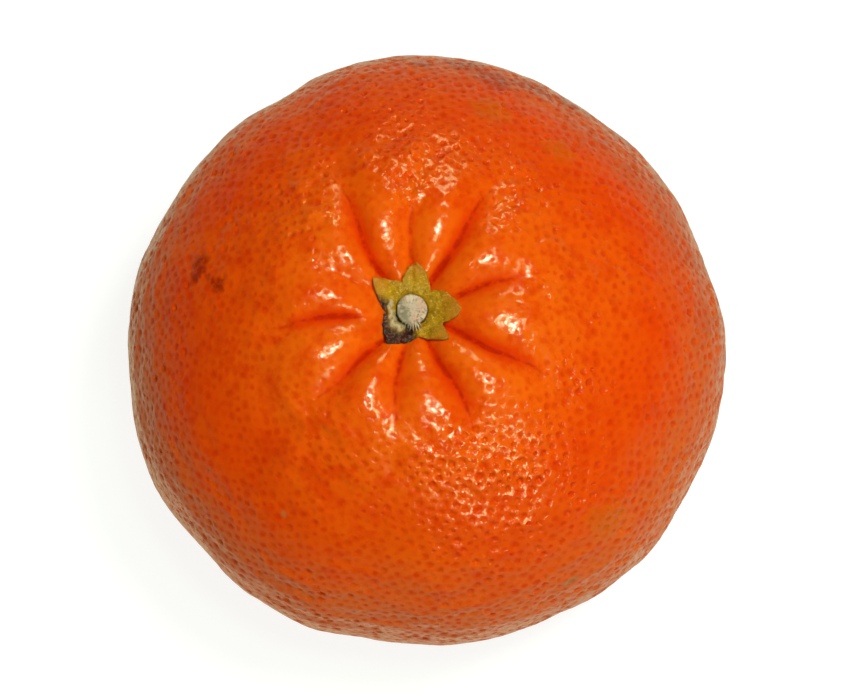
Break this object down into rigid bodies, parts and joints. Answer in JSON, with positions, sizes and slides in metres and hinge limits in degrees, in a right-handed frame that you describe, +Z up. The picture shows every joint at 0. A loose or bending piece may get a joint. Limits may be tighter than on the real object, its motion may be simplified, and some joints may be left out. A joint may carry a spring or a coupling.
{
  "type": "mandarin",
  "caption": "Whole ripe mandarin with a furrowed shoulder round a star-shaped green calyx and a short cut stem, resting with its stem end up.",
  "frame": {"origin": "on the surface that the fruit rests on, under the middle of its width and depth", "axes": "+Z up through the stem end, +X along the fruit's width, +Y along its depth"},
  "size_m": [0.0648, 0.0636, 0.0527],
  "materials": {
    "peel": "waxy citrus peel, pitted with oil glands",
    "calyx": "matt green to tan dried leaf",
    "stem": "freshly cut, pale and fibrous"
  },
  "bodies": {
    "root": {"fruit": "peel", "calyx": "calyx", "stem": "stem"}
  },
  "joints": []
}
